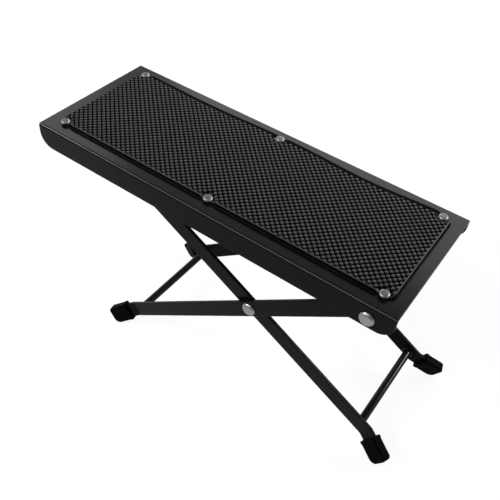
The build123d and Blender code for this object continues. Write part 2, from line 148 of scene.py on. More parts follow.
class Board:
    """Node tree of one finish, lamp or world."""

    def __init__(self, tree: bpy.types.NodeTree) -> None:
        """Start with an empty tree."""
        self.tree = tree
        tree.nodes.clear()

    def node(
        self,
        kind: str,
        settings: dict[str, Any] | None = None,
        inputs: dict[str | int, Any] | None = None,
        output: str | int = 0,
    ) -> Signal:
        """Add one node.

        Args:
            kind: Blender's type name of the node.
            settings: properties set before the sockets.
            inputs: value or link of each socket, by name or number.
            output: socket that the signal leaves by.

        Returns:
            The signal at that output.
        """
        made = self.tree.nodes.new(kind)
        for name, value in (settings or {}).items():
            setattr(made, name, value)
        for key, value in (inputs or {}).items():
            if isinstance(value, Signal):
                self.tree.links.new(value.socket, made.inputs[key])
            else:
                made.inputs[key].default_value = value
        return Signal(self, made.outputs[output])

    def noise(self, where: Signal, grain: Grain) -> Signal:
        """Noise between 0 and 1, of one pattern, over coordinates in metres."""
        inputs = {"Vector": where, "Scale": grain.scale, "Detail": grain.octaves}
        return self.node("ShaderNodeTexNoise", None, inputs)

    def tint(self, share: Signal, low: Signal | Colour, high: Colour) -> Signal:
        """Colour between two colours.

        Args:
            share: 0 for the first colour and 1 for the second.
            low: first colour, or a signal that gives it.
            high: second colour.

        Returns:
            The mixed colour.
        """
        start = low if isinstance(low, Signal) else (*low, 1.0)
        inputs = {MIX_SHARE: share, MIX_FIRST: start, MIX_SECOND: (*high, 1.0)}
        return self.node("ShaderNodeMix", {"data_type": "RGBA"}, inputs, MIX_RESULT)

    def blend(self, share: Signal, first: Signal, second: Signal) -> Signal:
        """Shader between two shaders, by the share of the second."""
        return self.node("ShaderNodeMixShader", None, {0: share, 1: first, 2: second})

    def places(self) -> Signal:
        """Coordinates of the surface in the shared frame, in metres."""
        return self.node("ShaderNodeTexCoord", None, None, "Object")

    def facing(self, way: Way) -> Signal:
        """How squarely the piece's surface faces a direction.

        Args:
            way: the direction, as a vector of length 1.

        Returns:
            The share, from -1 to 1.
        """
        normal = self.node("ShaderNodeTexCoord", None, None, "Normal")
        settings = {"operation": "DOT_PRODUCT"}
        return self.node("ShaderNodeVectorMath", settings, {0: normal, 1: way}, "Value")

    def rounded_edges(self, radius: float) -> Signal:
        """Normal with sharp edges rounded off by a small radius in metres."""
        return self.node("ShaderNodeBevel", {"samples": BEVEL_SAMPLES}, {"Radius": radius})

    def bump(self, height: Signal, depth: float, normal: Signal | None = None) -> Signal:
        """Normal moved by a height map.

        Args:
            height: height between 0 and 1.
            depth: height in metres that 1 stands for.
            normal: normal that the bump starts from, or none for the surface's own.

        Returns:
            The moved normal.
        """
        sockets = {"Height": height, "Distance": depth, "Strength": 1.0}
        if normal is not None:
            sockets["Normal"] = normal
        return self.node("ShaderNodeBump", None, sockets)

    def close(self, kind: str, surface: Signal) -> None:
        """Join the last shader to the tree's output node."""
        made = self.tree.nodes.new(kind)
        self.tree.links.new(surface.socket, made.inputs["Surface"])


@dataclass(frozen=True)
class Finish:
    """A finish of the footrest, made into a material once."""

    name: str
    slot: Slot

    def surface(self, board: Board) -> Signal:
        """Shader of the finish."""
        raise NotImplementedError

    def material(self) -> bpy.types.Material:
        """Material of the finish, made when it is first asked for.

        Returns:
            The material, the same one at every call.
        """
        known = bpy.data.materials.get(self.name)
        if known:
            return known
        made = bpy.data.materials.new(self.name)
        made.use_nodes = True
        board = Board(made.node_tree)
        board.close("ShaderNodeOutputMaterial", self.surface(board))
        return made


@dataclass(frozen=True)
class PowderCoat(Finish):
    """Satin black powder coat: fine orange peel, uneven gloss, softened edges."""

    dark: Colour = (0.0035, 0.0035, 0.0037)
    light: Colour = (0.0055, 0.0055, 0.0058)
    cloud: Grain = Grain(14.0, 4.0)
    gloss: float = 0.17
    gloss_spread: float = 0.1
    gloss_grain: float = 0.04
    shine: float = 0.05
    edge_radius: float = 0.35 * MM

    # Orange peel, and the finer grain on it
    peel: Grain = Grain(650.0, 1.0)
    grain: Grain = Grain(3600.0, 1.0)
    peel_share: float = 0.8
    grain_share: float = 0.2
    peel_depth: float = 0.012 * MM

    # Painted highlight on the plate's bends and sheared ends, patchy over the cloud
    painted_edge_highlight: float = 0.0
    edge_highlight_colour: Colour = (0.24, 0.24, 0.243)
    edge_highlight_patchy: float = 0.6
    edge_highlight_even: float = 0.4
    bend_facing: float = 0.70
    bend_slope: float = 4.5
    end_slope: float = 1.4

    # Thicker coat on what faces up from the plate
    top_gloss: float = 0.0
    top_slope: float = 3.0
    top_start: float = 1.3

    def surface(self, board: Board) -> Signal:
        """Shader with peel, grain, slow changes of gloss, and a painted highlight on the bends and
        sheared ends.

        Args:
            board: node tree of the finish.

        Returns:
            The shader.
        """
        where = board.places()
        cloud = board.noise(where, self.cloud)
        peel = board.noise(where, self.peel)
        grain = board.noise(where, self.grain)
        texture = peel * self.peel_share + grain * self.grain_share
        colour = board.tint(cloud, self.dark, self.light)
        # Painted highlight: a light colour laid on the bends and sheared ends
        if self.painted_edge_highlight:
            edge_highlight_share = self.highlight_on_bends_and_ends(board) * (cloud * self.edge_highlight_patchy + self.edge_highlight_even) * self.painted_edge_highlight
            colour = board.tint(edge_highlight_share, colour, self.edge_highlight_colour)
        sockets = {
            "Base Color": colour,
            "Roughness": cloud * self.gloss_spread + grain * self.gloss_grain + self.gloss,
            "Specular IOR Level": self.shine,
            "Coat Roughness": self.gloss,
            "Normal": board.bump(texture, self.peel_depth, board.rounded_edges(self.edge_radius)),
        }
        if self.top_gloss:
            upward = (board.facing(PLATE_UP) * self.top_slope - self.top_start).held()
            sockets["Coat Weight"] = upward * self.top_gloss
        return board.node("ShaderNodeBsdfPrincipled", None, sockets)

    def highlight_on_bends_and_ends(self, board: Board) -> Signal:
        """Painted highlight where the skin turns halfway down: some on the bends, most on the
        sheared ends.

        Args:
            board: node tree of the finish.

        Returns:
            The strength of the painted highlight, from 0 to 2.
        """
        turned = (board.facing(PLATE_UP) - self.bend_facing).maths("ABSOLUTE")
        halfway = 1.0 - turned * self.bend_slope
        sideways = board.facing(ACROSS).maths("ABSOLUTE")
        return halfway.held() * (1.0 + (1.0 - sideways * self.end_slope).held())


@dataclass(frozen=True)
class MouldedRubber(Finish):
    """Black moulded rubber: matt skin with a fine grain and a little dust in it."""

    dark: Colour = (0.0006, 0.0006, 0.0007)
    light: Colour = (0.0018, 0.0018, 0.0019)
    dust: Grain = Grain(40.0, 5.0)
    grain: Grain = Grain(1500.0, 3.0)
    dust_share: float = 0.6
    grain_share: float = 0.4
    grain_depth: float = 0.02 * MM
    matt: float = 0.42
    matt_dust: float = 0.12
    matt_grain: float = 0.08
    shine: float = 0.02

    def surface(self, board: Board) -> Signal:
        """Shader with moulding grain and patches of dust.

        Args:
            board: node tree of the finish.

        Returns:
            The shader.
        """
        where = board.places()
        dust = board.noise(where, self.dust)
        grain = board.noise(where, self.grain)
        mask = dust * self.dust_share + grain * self.grain_share
        return board.node(
            "ShaderNodeBsdfPrincipled",
            None,
            {
                "Base Color": board.tint(mask, self.dark, self.light),
                "Roughness": dust * self.matt_dust + grain * self.matt_grain + self.matt,
                "Specular IOR Level": self.shine,
                "Normal": board.bump(grain, self.grain_depth),
            },
        )


@dataclass(frozen=True)
class MatSkinWithPaintedLight(Finish):
    """Rubber of the mat: satin tops on the bumps painted lighter, and near-black painted shade in
    the valleys and on the border.
    """

    # Tops of the bumps and of the rim, painted lighter than the valleys
    dark: Colour = (0.0060, 0.0060, 0.0063)
    light: Colour = (0.0140, 0.0140, 0.0144)
    dust: Grain = Grain(60.0, 4.0)
    grain: Grain = Grain(2600.0, 3.0)
    dust_share: float = 0.5
    grain_share: float = 0.5
    grain_depth: float = 0.02 * MM
    matt: float = 0.24
    matt_dust: float = 0.14
    matt_grain: float = 0.08
    shine: float = 0.50

    # Valleys and border: a near-black colour as painted shade
    painted_valley_shade: Colour = (0.0006, 0.0006, 0.0007)
    deep_matt: float = 0.70
    deep_matt_grain: float = 0.1
    deep_shine: float = 0.03

    def surface(self, board: Board) -> Signal:
        """Shader of the lighter tops over that of the shaded valleys, by the share of painted
        light kept on the mesh's points.

        Args:
            board: node tree of the finish.

        Returns:
            The shader.
        """
        where = board.places()
        dust = board.noise(where, self.dust)
        grain = board.noise(where, self.grain)
        # Share of painted light: lighter tops, and painted shade in the valleys and on the border
        relief = board.node("ShaderNodeAttribute", {"attribute_name": PAINTED_LIGHT_ATTRIBUTE}, None, "Fac")
        valleys = board.node(
            "ShaderNodeBsdfPrincipled",
            None,
            {
                "Base Color": (*self.painted_valley_shade, 1.0),
                "Roughness": grain * self.deep_matt_grain + self.deep_matt,
                "Specular IOR Level": self.deep_shine,
            },
        )
        mask = dust * self.dust_share + grain * self.grain_share
        tops = board.node(
            "ShaderNodeBsdfPrincipled",
            None,
            {
                "Base Color": board.tint(mask, self.dark, self.light),
                "Roughness": dust * self.matt_dust + grain * self.matt_grain + self.matt,
                "Specular IOR Level": self.shine,
                "Normal": board.bump(grain, self.grain_depth),
            },
        )
        return board.blend(relief, valleys, tops)


@dataclass(frozen=True)
class PlatedSteel(Finish):
    """Bright plated steel: fine tool marks, small pits, a little haze, and head flanks painted
    lighter than the flat tops as a painted highlight.
    """

    dark: Colour
    light: Colour
    gloss: float
    gloss_haze: float = 0.18
    haze: Grain = Grain(700.0, 4.0)
    marks: Grain = Grain(1900.0, 2.0)
    haze_share: float = 0.7
    marks_share: float = 0.3
    mark_depth: float = 0.02 * MM

    # Heads with a painted highlight on their flanks: the way that the tops face, and the lighter
    # colour of the flanks
    top_way: Way | None = None
    flank_from: float = 0.985
    flank_slope: float = 14.0
    painted_flank_highlight: Colour = (0.28, 0.28, 0.284)

    def surface(self, board: Board) -> Signal:
        """Shader with haze, marks and pits.

        Args:
            board: node tree of the finish.

        Returns:
            The shader.
        """
        where = board.places()
        haze = board.noise(where, self.haze)
        marks = board.noise(where, self.marks)
        mask = haze * self.haze_share + marks * self.marks_share
        colour = board.tint(mask, self.dark, self.light)
        # Painted highlight: the flanks of the heads lighter than their tops
        if self.top_way:
            level = board.facing(self.top_way).maths("ABSOLUTE")
            flank_highlight = ((self.flank_from - level) * self.flank_slope).held()
            colour = board.tint(flank_highlight, colour, self.painted_flank_highlight)
        return board.node(
            "ShaderNodeBsdfPrincipled",
            None,
            {
                "Base Color": colour,
                "Metallic": 1.0,
                "Roughness": haze * self.gloss_haze + self.gloss,
                "Normal": board.bump(marks, self.mark_depth),
            },
        )


# Finish of each slot
FINISHES = {
    Slot.POWDER_COAT: PowderCoat("satin_black_coat", Slot.POWDER_COAT),
    Slot.MAT_RUBBER: MatSkinWithPaintedLight("mat_rubber_skin", Slot.MAT_RUBBER),
    Slot.CAP_RUBBER: MouldedRubber("cap_rubber_skin", Slot.CAP_RUBBER),
    Slot.BRIGHT_RIVET: PlatedSteel(
        "plated_rivet_steel",
        Slot.BRIGHT_RIVET,
        dark=(0.10, 0.10, 0.103),
        light=(0.54, 0.54, 0.55),
        gloss=0.34,
        marks=Grain(1100.0, 2.0),
        mark_depth=0.06 * MM,
    ),
    Slot.ZINC_STEEL: PlatedSteel(
        "zinc_washer_steel",
        Slot.ZINC_STEEL,
        dark=(0.20, 0.20, 0.205),
        light=(0.34, 0.34, 0.345),
        gloss=0.36,
    ),
}

FAR_LEG_COAT = PowderCoat("dull_black_coat", Slot.POWDER_COAT, shine=0.02, gloss=0.26)

# Finish of each node that the photo shows apart from the rest of its slot
NODE_FINISHES = {
    # The plate's coat has a painted highlight on its bends and sheared ends
    "foot_plate": PowderCoat("satin_black_plate_coat", Slot.POWDER_COAT, painted_edge_highlight=0.28, top_gloss=0.26),
    # The mat rivets carry a painted highlight on the flanks of their heads
    "mat_rivets": PlatedSteel(
        "plated_mat_rivet_steel",
        Slot.BRIGHT_RIVET,
        dark=(0.06, 0.06, 0.062),
        light=(0.14, 0.14, 0.142),
        gloss=0.30,
        top_way=PLATE_UP,
    ),
    "inner_leg_far": FAR_LEG_COAT,
    "outer_leg_far": FAR_LEG_COAT,
    "inner_cross_rod": PowderCoat(
        "glossy_black_rod_coat",
        Slot.POWDER_COAT,
        shine=0.11,
        gloss=0.05,
        gloss_spread=0.02,
        peel_depth=0.004 * MM,
    ),
    "outer_cross_rod": PowderCoat(
        "satin_black_rod_coat", Slot.POWDER_COAT, shine=0.12, gloss=0.16
    ),
}


@dataclass
class Draft:
    """Points and faces of a piece while it is built."""

    points: list[Vector] = field(default_factory=list)
    faces: list[tuple[int, ...]] = field(default_factory=list)

    def add(self, points: Iterable[Vector]) -> list[int]:
        """Add points.

        Args:
            points: points in metres, in the shared frame.

        Returns:
            Their numbers in the draft.
        """
        first = len(self.points)
        self.points.extend(points)
        return list(range(first, len(self.points)))

    def band(self, ring: Sequence[int], next_ring: Sequence[int]) -> None:
        """Join two closed rings with four-sided faces.

        Args:
            ring: point numbers of the first ring.
            next_ring: as many point numbers of the second.
        """
        count = len(ring)
        for i in range(count):
            j = (i + 1) % count
            self.faces.append((ring[i], ring[j], next_ring[j], next_ring[i]))

    def piece(
        self, name: str, body: Body, finish: Finish, replaced: Sequence[str] = ()
    ) -> bpy.types.Object:
        """Turn the draft into a dressed piece that rides on a body.

        Args:
            name: name of the piece.
            body: body that it moves with.
            finish: finish of its whole surface.
            replaced: CAD nodes that it stands for.

        Returns:
            The new object.
        """
        mesh = bpy.data.meshes.new(name)
        mesh.from_pydata([tuple(point) for point in self.points], [], self.faces)
        mesh.update()
        mesh.shade_smooth()
        mesh.materials.append(finish.material())
        made = bpy.data.objects.new(name, mesh)
        bpy.context.scene.collection.objects.link(made)
        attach(made, body.value)
        if replaced:
            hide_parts(*replaced)
        log.info("%s: %d faces, rides on %s", name, len(mesh.polygons), body.value)
        return made


@dataclass(frozen=True)
class PlateAxes:
    """Axes of the tilted plate: along it from the high end, across to the far side, up from it."""

    # Least upward part of the normal of a face that may be the plate's top
    least_rise: ClassVar[float] = 0.5

    corner: Vector
    along: Vector
    across: Vector
    up: Vector

    @classmethod
    def of_node(cls, node: bpy.types.Object) -> "PlateAxes":
        """Axes read from the plate's mesh.

        Args:
            node: CAD object of the foot plate.

        Returns:
            Axes that start at the middle of the high edge of the top face.
        """
        upward = [face for face in node.data.polygons if face.normal.z > cls.least_rise]
        up = max(upward, key=lambda face: face.area).normal.normalized()
        across = Vector(ACROSS)
        along = across.cross(up)
        least = min(along.dot(v.co) for v in node.data.vertices)
        top = max(up.dot(v.co) for v in node.data.vertices)
        return cls(along * least + up * top, along, across, up)

    def place(self, u: float, v: float, n: float) -> Vector:
        """Point of the shared frame, in metres, from plate coordinates in millimetres."""
        return self.corner + (self.along * u + self.across * v + self.up * n) * MM

    def extent(self, node: bpy.types.Object) -> tuple[Vector, Vector]:
        """Reach of a node in plate coordinates.

        Args:
            node: CAD object to measure.

        Returns:
            Its lowest and its highest plate coordinates, in millimetres.
        """
        spots = []
        for vertex in node.data.vertices:
            gap = (vertex.co - self.corner) / MM
            spots.append((gap.dot(self.along), gap.dot(self.across), gap.dot(self.up)))
        return Vector(map(min, *spots)), Vector(map(max, *spots))


def smooth_step(share: float) -> float:
    """Smooth rise from 0 to 1, flat at both ends."""
    share = min(max(share, 0.0), 1.0)
    return share * share * (3.0 - 2.0 * share)


@dataclass
class RubberMat:
    """Mat of small round bumps inside a smooth rim, pressed down round its six rivets.

    Its sizes are plate coordinates in millimetres, with heights over the plate.
    """

    plate: PlateAxes
    mat_node: bpy.types.Object
    rivet_node: bpy.types.Object
    finish: Finish

    # Outline, and how it is drawn in between the rivets of the far side
    rim: float = 1.9
    far_margin: float = 4.2
    far_reach_high: float = 0.6
    far_reach_low: float = 1.6
    far_facing: float = 0.999
    corner_radius: float = 6.0
    draw_high_bay: float = 1.6
    draw_low_bay: float = 2.8
    low_bay_skew: float = 1.2
    edge_step: float = 1.6
    corner_steps: int = 8
    merge_gap: float = 1e-4

    # Bumps in staggered rows, each a crown inside rings of (radius, height)
    pitch_along: float = 4.36
    pitch_across: float = 4.40
    valley: float = 2.15
    crown: float = 3.08
    bump_rings: tuple[tuple[float, float], ...] = (
        (0.62, 3.03),
        (1.04, 2.86),
        (1.28, 2.52),
        (1.38, 2.15),
    )
    ring_points: int = 8

    # Heights between which the satin skin and its painted light come in, and its share on the high
    # end's rim, painted darker than the near side and low end
    painted_light_start: float = 2.55
    painted_light_full: float = 2.92
    high_end_painted_light: float = 0.2

    # Dimple that a rivet's head presses
    seat: float = 1.7
    head_radius: float = 3.25
    dimple_radius: float = 6.75

    # Rings from the field's edge over the rim: (way out, height, share of satin skin with painted
    # light)
    rim_profile: tuple[tuple[float, float, float], ...] = (
        (0.06, 2.46, 0.2),
        (0.20, 2.73, 1.0),
        (0.60, 2.80, 1.0),
        (0.72, 2.74, 0.9),
        (0.82, 2.56, 0.2),
        (0.90, 2.25, 0.0),
        (1.24, 0.90, 0.0),
        (1.75, 0.90, 0.0),
        # Painted highlight: a faint light line on the border's corner
        (1.86, 0.80, 0.5),
        (1.90, 0.65, 0.0),
        (1.90, 0.00, 0.0),
    )

    # The same rings over the far side's flat margin: (way out, height)
    margin_profile: tuple[tuple[float, float], ...] = (
        (0.10, 2.15),
        (0.90, 2.15),
        (1.70, 2.15),
        (2.50, 2.15),
        (3.30, 2.15),
        (3.80, 2.12),
        (4.00, 2.04),
        (4.10, 1.90),
        (4.16, 1.70),
        (4.20, 1.40),
        (4.20, 0.00),
    )

    def __post_init__(self) -> None:
        """Read the mat's reach and the rivets' places from the CAD nodes."""
        self.low, self.high = self.plate.extent(self.mat_node)
        self.middle = (self.low.x + self.high.x) / 2
        self.half_along, self.half_across = self.pitch_along / 2, self.pitch_across / 2
        first, last = self.plate.extent(self.rivet_node)
        reach = self.head_radius
        rows = (first.x + reach, (first.x + last.x) / 2, last.x - reach)
        self.rivets = [(u, v) for u in rows for v in (first.y + reach, last.y - reach)]

    def corner(self, u: float, v: float, first_turn: float) -> list[EdgePoint]:
        """Quarter round of the field's edge, from one side's direction to the next.

        Args:
            u: place of its centre along the plate.
            v: place of its centre across the plate.
            first_turn: direction of its first point, in degrees.

        Returns:
            Its points with their outward directions.
        """
        points = []
        for step in range(self.corner_steps + 1):
            turn = math.radians(first_turn + 90.0 * step / self.corner_steps)
            way = Vector((math.cos(turn), math.sin(turn)))
            points.append((Vector((u, v)) + way * (self.corner_radius - self.rim), way))
        return points

    def side(self, begin: Vector, end: Vector, way: Vector) -> list[EdgePoint]:
        """Points of the field's edge strictly between two ends of a straight side.

        Args:
            begin: first end, on the mat's edge.
            end: second end, on the mat's edge.
            way: outward direction of the side.

        Returns:
            The points with that direction.
        """
        count = max(2, round((end - begin).length / self.edge_step))
        inset = way * self.rim
        return [(begin.lerp(end, step / count) - inset, way) for step in range(1, count)]

    def far_side(self) -> list[EdgePoint]:
        """Points of the field's edge along the far side, inside its flat margin.

        Returns:
            The points from the low end to the high end, with their outward direction.
        """
        length = self.high.x - self.low.x - 2 * self.corner_radius
        count = round(length / self.edge_step)
        points = []
        for step in range(1, count):
            u = self.high.x - self.corner_radius - length * step / count
            inset = self.rim + (self.drawn_in(u) + self.far_margin - self.rim) * self.far_share(u)
            points.append((Vector((u, self.high.y - inset)), Vector((0.0, 1.0))))
        return points

    def edge_points(self) -> list[EdgePoint]:
        """Points of the field's edge, one rim inside the mat's.

        Returns:
            The points round the field, each with its outward direction.
        """
        start, near = self.low.x, self.low.y
        end, far = self.high.x, self.high.y
        first, last = start + self.corner_radius, end - self.corner_radius
        front, back = near + self.corner_radius, far - self.corner_radius
        return [
            *self.corner(first, front, 180.0),
            *self.side(Vector((first, near)), Vector((last, near)), Vector((0.0, -1.0))),
            *self.corner(last, front, 270.0),
            *self.side(Vector((end, front)), Vector((end, back)), Vector((1.0, 0.0))),
            *self.corner(last, back, 0.0),
            *self.far_side(),
            *self.corner(first, back, 90.0),
            *self.side(Vector((start, back)), Vector((start, front)), Vector((-1.0, 0.0))),
        ]

    def far_share(self, u: float) -> float:
        """0 at the far corners and 1 along the far side, rising a short way from each corner."""
        gap = min(u - self.low.x, self.high.x - u) - self.corner_radius
        return smooth_step(gap / self.corner_radius)

    def drawn_in(self, u: float) -> float:
        """How far the far edge lies inside the CAD mat's: in between rivets, out at them.

        Args:
            u: place along the plate.

        Returns:
            The distance, negative where the edge bulges outward.
        """
        first, last = self.rivets[0][0], self.rivets[-1][0]
        along = (u - first) / (last - first)
        bulge = self.far_reach_high + (self.far_reach_low - self.far_reach_high) * along
        if not 0.0 < along < 1.0:
            return -bulge
        if along < 0.5:
            draw, share = self.draw_high_bay, along * 2.0
        else:
            draw, share = self.draw_low_bay, (along * 2.0 - 1.0) ** self.low_bay_skew
        return draw * math.sin(math.pi * share) ** 2 - bulge

    def bumps(self) -> list[tuple[float, float]]:
        """Centres of the bumps that touch the field.

        Returns:
            Their places along and across the plate.
        """
        columns = round((self.high.x - self.low.x) / 2 / self.half_along)
        rows = round((self.high.y - self.low.y) / 2 / self.half_across)
        return [
            (self.middle + i * self.half_along, j * self.half_across)
            for i in range(-columns, columns + 1)
            for j in range(-rows, rows + 1)
            if (i + j) % 2 == 0
        ]

    def relief(self, u: float, v: float) -> float:
        """Height of the field before the rivets press it.

        Args:
            u: place along the plate.
            v: place across it.

        Returns:
            The height there of the nearest bump, or of the valley.
        """
        a, b = (u - self.middle) / self.half_along, v / self.half_across
        i, j = round(a), round(b)
        if (i + j) % 2:
            if abs(a - i) > abs(b - j):
                i += 1 if a > i else -1
            else:
                j += 1 if b > j else -1
        gap = math.hypot((a - i) * self.half_along, (b - j) * self.half_across)
        inner, top = 0.0, self.crown
        for radius, height in self.bump_rings:
            if gap < radius:
                return top + (height - top) * (gap - inner) / (radius - inner)
            inner, top = radius, height
        return self.valley

    def painted_light_share(self, height: float) -> float:
        """Share of the satin skin, painted lighter than the valleys, at a height of the relief."""
        share = (height - self.painted_light_start) / (self.painted_light_full - self.painted_light_start)
        return min(max(share, 0.0), 1.0)

    def pressed(self, u: float, v: float, n: float) -> float:
        """Height once the rivets have squeezed the rubber.

        Args:
            u: place along the plate.
            v: place across it.
            n: height before.

        Returns:
            The height after, in millimetres.
        """
        thickness = self.high.z
        for rivet_u, rivet_v in self.rivets:
            gap = math.hypot(u - rivet_u, v - rivet_v)
            if gap < self.dimple_radius:
                way_out = (gap - self.head_radius) / (self.dimple_radius - self.head_radius)
                rise = smooth_step(way_out)
                n *= (self.seat + (thickness - self.seat) * rise) / thickness
        return n

    def placed(self, spots: Iterable[Vector], heights: Iterable[float]) -> list[Vector]:
        """Points of the shared frame from flat points, and their heights before the pressing."""
        pairs = zip(spots, heights)
        return [self.plate.place(s.x, s.y, self.pressed(s.x, s.y, n)) for s, n in pairs]

    def field_mesh(self, edge: Sequence[EdgePoint]) -> tuple[list[Vector], list[list[int]]]:
        """Bumps and valleys, cut at the field's edge.

        Args:
            edge: points of the field's edge with their outward directions.

        Returns:
            Flat points and triangles of the field.
        """
        spots = [Vector(point) for point, _ in edge]
        count = len(spots)
        lines = [(i, (i + 1) % count) for i in range(count)]
        turns = [2 * math.pi * (step + 0.5) / self.ring_points for step in range(self.ring_points)]
        for u, v in self.bumps():
            for radius, _ in self.bump_rings:
                first = len(spots)
                spots.extend(
                    Vector((u + math.cos(turn) * radius, v + math.sin(turn) * radius))
                    for turn in turns
                )
                for step in range(self.ring_points):
                    lines.append((first + step, first + (step + 1) % self.ring_points))
            spots.append(Vector((u, v)))
        flat, _, faces, _, _, kept = delaunay_2d_cdt(
            spots, lines, [list(range(count))], HULL_TRIANGLES, self.merge_gap
        )
        inside = [face for face, sources in zip(faces, kept) if sources]
        return flat, inside

    def build(self) -> bpy.types.Object:
        """Mesh of the whole mat, which stands for the plain CAD mat.

        Returns:
            The new mat, with the share of satin skin and painted light kept on its points.
        """
        edge = self.edge_points()
        flat, faces = self.field_mesh(edge)
        heights = [self.relief(spot.x, spot.y) for spot in flat]
        # Painted light: tops lighter than the valleys, which get painted shade
        painted_light = [self.painted_light_share(height) for height in heights]
        draft = Draft()
        draft.add(self.placed(flat, heights))
        draft.faces.extend(tuple(face) for face in faces)
        last = self.boundary(faces)
        ring = [flat[i] for i in last]
        for spots, levels, shares in self.rim_rings(ring, self.outward(edge, ring)):
            new = draft.add(self.placed(spots, levels))
            painted_light.extend(shares)
            draft.band(last, new)
            last = new
        draft.faces.append(tuple(reversed(last)))
        made = draft.piece("mat_with_bumps", Body.PLATE, self.finish, ["rubber_mat"])
        made.data.attributes.new(PAINTED_LIGHT_ATTRIBUTE, "FLOAT", "POINT").data.foreach_set("value", painted_light)
        return made

    def rim_rings(
        self, ring: Sequence[Vector], ways: Sequence[Vector]
    ) -> list[tuple[list[Vector], list[float], list[float]]]:
        """Rings from the field's edge to the plate: over the rim, or the far side's flat margin.

        Args:
            ring: points of the field's edge.
            ways: outward direction at each of them.

        Returns:
            For each ring its flat points, their heights and their shares of the satin skin with
            painted light.
        """
        flat_shares = [
            self.far_share(spot.x) if way.y > self.far_facing else 0.0
            for spot, way in zip(ring, ways)
        ]
        rings = []
        profiles = zip(self.rim_profile, self.margin_profile)
        for (offset, top, painted_light), (far_offset, far_top) in profiles:
            spots, tops, painted_lights = [], [], []
            for spot, way, flat in zip(ring, ways, flat_shares):
                spots.append(spot + way * (offset + (far_offset - offset) * flat))
                tops.append(top + (far_top - top) * flat)
                # Painted light by side: the rim's satin top shows on the near side and low end,
                # faintly on the high end, and the far side and its margin stay near-black as
                # painted shade
                painted_lights.append(painted_light * max(0.0, -way.y, way.x, -self.high_end_painted_light * way.x))
            rings.append((spots, tops, painted_lights))
        return rings

    @staticmethod
    def boundary(faces: Sequence[Sequence[int]]) -> list[int]:
        """Loop of points round a patch of faces.

        Args:
            faces: faces of the patch, all turned the same way.

        Returns:
            Point numbers round the patch, so that a band outward faces the same way.
        """
        steps = dict.fromkeys(
            (a, b) for face in faces for a, b in zip(face, (*face[1:], face[0]))
        )
        following = {a: b for a, b in steps if (b, a) not in steps}
        start = next(iter(following))
        loop = [start]
        while following[loop[-1]] != start:
            loop.append(following[loop[-1]])
        return loop[::-1]

    @staticmethod
    def outward(edge: Sequence[EdgePoint], spots: Sequence[Vector]) -> list[Vector]:
        """Outward direction at each point, from the nearest stretch of the edge.

        Args:
            edge: points of the field's edge with their outward directions.
            spots: points on that edge, or between two of its points.

        Returns:
            The direction at each spot.
        """
        ways = []
        for spot in spots:
            ranked = sorted(edge, key=lambda item: (item[0] - spot).length_squared)
            (a, way_a), (b, way_b) = ranked[:2]
            near, far = (a - spot).length, (b - spot).length
            ways.append(way_a.lerp(way_b, near / max(near + far, TINY)).normalized())
        return ways


@dataclass
class WeldBead:
    """Ring of weld between a cross rod and a bar, with the ripples that the torch leaves.

    Its sizes are in millimetres.
    """

    rod_node: str
    body: Body
    finish: Finish
    rod_radius: float = 3.0
    clearance: float = 0.02
    leg: float = 1.8
    height: float = 1.5
    swell: float = 0.22
    swell_along: float = 0.5
    ripples: int = 13
    ripple_depth: float = 0.10
    uneven_scale: float = 40.0
    uneven_depth: float = 0.12
    turns: int = 104
    slices: int = 7

    def build(self) -> list[bpy.types.Object]:
        """A bead at each end of the rod.

        Returns:
            The near bead and the far bead.
        """
        low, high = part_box(self.rod_node)
        centre = (low + high) / 2
        made = []
        for name, end, inward in (("near", low.y, 1.0), ("far", high.y, -1.0)):
            draft = Draft()
            foot = Vector((centre.x, end, centre.z))
            rings = [
                draft.add(self.ring(foot, inward, i / self.slices)) for i in range(self.slices + 1)
            ]
            for ring, next_ring in zip(rings, rings[1:]):
                draft.band(*((ring, next_ring) if inward > 0 else (next_ring, ring)))
            made.append(draft.piece(f"{self.rod_node}_bead_{name}", self.body, self.finish))
        return made

    def ring(self, foot: Vector, inward: float, share: float) -> list[Vector]:
        """One slice of the bead, from its toe on the bar to its toe on the rod.

        Args:
            foot: centre of the rod at the bar's face.
            inward: 1 or -1, the way along the rod from that face.
            share: 0 at the bar and 1 on the rod.

        Returns:
            Points round the rod, in metres.
        """
        angle = share * math.pi / 2
        belly = math.sin(share * math.pi)
        points = []
        for step in range(self.turns):
            turn = 2 * math.pi * step / self.turns
            wave = abs(math.sin(turn * self.ripples / 2 + share))
            swell = self.swell - self.ripple_depth * (1 - wave)
            place = Vector((math.cos(turn), math.sin(turn), foot.y * self.uneven_scale))
            uneven = self.uneven_depth * noise.noise(place)
            out = self.height * math.cos(angle) + belly * (swell + uneven)
            along = self.leg * math.sin(angle) + belly * swell * self.swell_along
            radius = (self.rod_radius + out + self.clearance) * MM
            x, z = math.cos(turn) * radius, math.sin(turn) * radius
            points.append(foot + Vector((x, inward * along * MM, z)))
        return points


@dataclass(frozen=True)
class Softbox:
    """Soft rectangular lamp, placed by its direction from the footrest."""

    name: str
    azimuth: float
    elevation: float
    distance: float
    width: float
    height: float
    level: float
    aim: tuple[float, float, float] = (0.0, 0.0, 0.12)

    def build(self) -> bpy.types.Object:
        """Make the lamp, its power worked out from how bright its face is.

        Returns:
            The lamp's object.
        """
        light = bpy.data.lights.new(self.name, "AREA")
        light.shape = "RECTANGLE"
        light.size = self.width
        light.size_y = self.height
        light.energy = self.level * math.pi * self.width * self.height
        around, above = math.radians(self.azimuth), math.radians(self.elevation)
        flat = math.cos(above)
        way = Vector((math.cos(around) * flat, math.sin(around) * flat, math.sin(above)))
        made = bpy.data.objects.new(self.name, light)
        made.location = Vector(self.aim) + way * self.distance
        made.rotation_euler = (-way).to_track_quat("-Z", "Y").to_euler()
        made.visible_camera = False
        bpy.context.scene.collection.objects.link(made)
        return made


